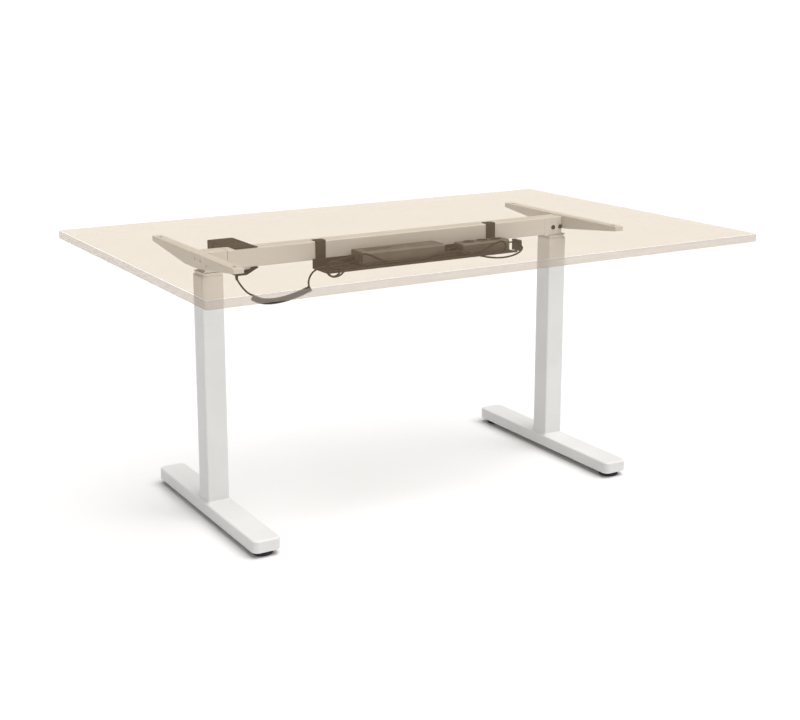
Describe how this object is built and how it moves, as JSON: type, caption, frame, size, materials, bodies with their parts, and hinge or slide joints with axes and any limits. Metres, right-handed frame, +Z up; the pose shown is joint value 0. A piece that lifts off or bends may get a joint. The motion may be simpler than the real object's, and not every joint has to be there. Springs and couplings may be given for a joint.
{
  "type": "height-adjustable desk",
  "caption": "Height-adjustable desk: telescopic linear actuator legs driven by a gearmotor and shaft in the crossbeam, with a cable tray and see-through top.",
  "frame": {"origin": "middle of the bounding box, on the floor", "axes": "+X along the crossbeam to the right, +Y to the back, +Z up"},
  "size_m": [1.56, 1, 0.739],
  "materials": {
    "frame_paint": "light grey powder coat",
    "dark_sheet": "dark brown-black powder coat",
    "steel": "machined",
    "brass": "cut gear",
    "black_plastic": "matt black",
    "box_plastic": "matt dark grey",
    "slide_plastic": "self-lubricating white plastic",
    "cable_rubber": "matt black",
    "tabletop_wood": null,
    "edge_wood": "see-through edge band"
  },
  "bodies": {
    "left_base": {"left_foot": "frame_paint", "left_outer_tube": "frame_paint", "left_guide_bush": "slide_plastic", "left_nut_post": "steel", "left_spindle_nut": "slide_plastic"},
    "right_base": {"right_foot": "frame_paint", "right_outer_tube": "frame_paint", "right_guide_bush": "slide_plastic", "right_nut_post": "steel", "right_spindle_nut": "slide_plastic"},
    "left_front_glide": {"left_front_glide": "black_plastic"},
    "left_back_glide": {"left_back_glide": "black_plastic"},
    "left_spindle": {"left_spindle": "steel", "left_spindle_gear": "brass"},
    "right_front_glide": {"right_front_glide": "black_plastic"},
    "right_back_glide": {"right_back_glide": "black_plastic"},
    "right_spindle": {"right_spindle": "steel", "right_spindle_gear": "brass"},
    "drive_line": {"drive_shaft": "steel", "left_shaft_gear": "brass", "right_shaft_gear": "brass", "worm_wheel": "brass"},
    "motor_rotor": {"motor_worm": "steel"},
    "top_frame": {"left_inner_tube": "frame_paint", "left_head": "frame_paint", "left_arm": "frame_paint", "left_slide_pad": "slide_plastic", "left_spindle_bearing": "steel", "left_strap_screw": "steel", "left_head_bolt_1": "black_plastic", "left_head_bolt_2": "black_plastic", "left_tray_strap": "dark_sheet", "right_inner_tube": "frame_paint", "right_head": "frame_paint", "right_arm": "frame_paint", "right_slide_pad": "slide_plastic", "right_spindle_bearing": "steel", "right_strap_screw": "steel", "right_head_bolt_1": "black_plastic", "right_head_bolt_2": "black_plastic", "right_tray_strap": "dark_sheet", "crossbeam": "frame_paint", "worm_gearbox": "steel", "motor_can": "dark_sheet", "motor_cover": "dark_sheet", "cable_tray": "dark_sheet", "control_box": "box_plastic", "power_strip": "box_plastic", "mains_plug": "black_plastic", "tabletop": "tabletop_wood", "edge_band": "edge_wood", "motor_lead_upper": "cable_rubber", "motor_lead_coil": "cable_rubber", "motor_lead_lower": "cable_rubber", "box_lead": "cable_rubber", "mains_lead": "cable_rubber", "socket_lead": "cable_rubber"}
  },
  "joints": [
    {"name": "left_lift", "type": "slide", "parent": "left_base", "child": "top_frame", "axis": [0, 0, 1], "range_m": [0, 0.48]},
    {"name": "right_lift", "type": "slide", "parent": "top_frame", "child": "right_base", "axis": [0, 0, 1], "range_m": [-0.48, 0]},
    {"name": "left_spindle_turn", "type": "hinge", "parent": "top_frame", "child": "left_spindle", "pos_m": [-0.505, 0.142, 0.4], "axis": [0, 0, 1], "continuous": true},
    {"name": "right_spindle_turn", "type": "hinge", "parent": "top_frame", "child": "right_spindle", "pos_m": [0.595, 0.142, 0.4], "axis": [0, 0, 1], "continuous": true},
    {"name": "drive_shaft_turn", "type": "hinge", "parent": "top_frame", "child": "drive_line", "pos_m": [0.045, 0.142, 0.689], "axis": [1, 0, 0], "continuous": true},
    {"name": "motor_turn", "type": "hinge", "parent": "top_frame", "child": "motor_rotor", "pos_m": [-0.412, 0.162, 0.671], "axis": [0, 1, 0], "continuous": true},
    {"name": "left_front_glide_turn", "type": "hinge", "parent": "left_base", "child": "left_front_glide", "pos_m": [-0.505, -0.152, 0.01], "axis": [0, 0, 1], "continuous": true},
    {"name": "left_back_glide_turn", "type": "hinge", "parent": "left_base", "child": "left_back_glide", "pos_m": [-0.505, 0.416, 0.01], "axis": [0, 0, 1], "continuous": true},
    {"name": "right_front_glide_turn", "type": "hinge", "parent": "right_base", "child": "right_front_glide", "pos_m": [0.595, -0.152, 0.01], "axis": [0, 0, 1], "continuous": true},
    {"name": "right_back_glide_turn", "type": "hinge", "parent": "right_base", "child": "right_back_glide", "pos_m": [0.595, 0.416, 0.01], "axis": [0, 0, 1], "continuous": true}
  ],
  "couplings": [
    {"joint": "right_lift", "follows": "left_lift", "ratio": -1},
    {"joint": "left_spindle_turn", "follows": "left_lift", "rad_per_m": 523.6},
    {"joint": "right_spindle_turn", "follows": "left_lift", "rad_per_m": -523.6},
    {"joint": "drive_shaft_turn", "follows": "left_lift", "rad_per_m": 523.6},
    {"joint": "motor_turn", "follows": "left_lift", "rad_per_m": 7854}
  ]
}
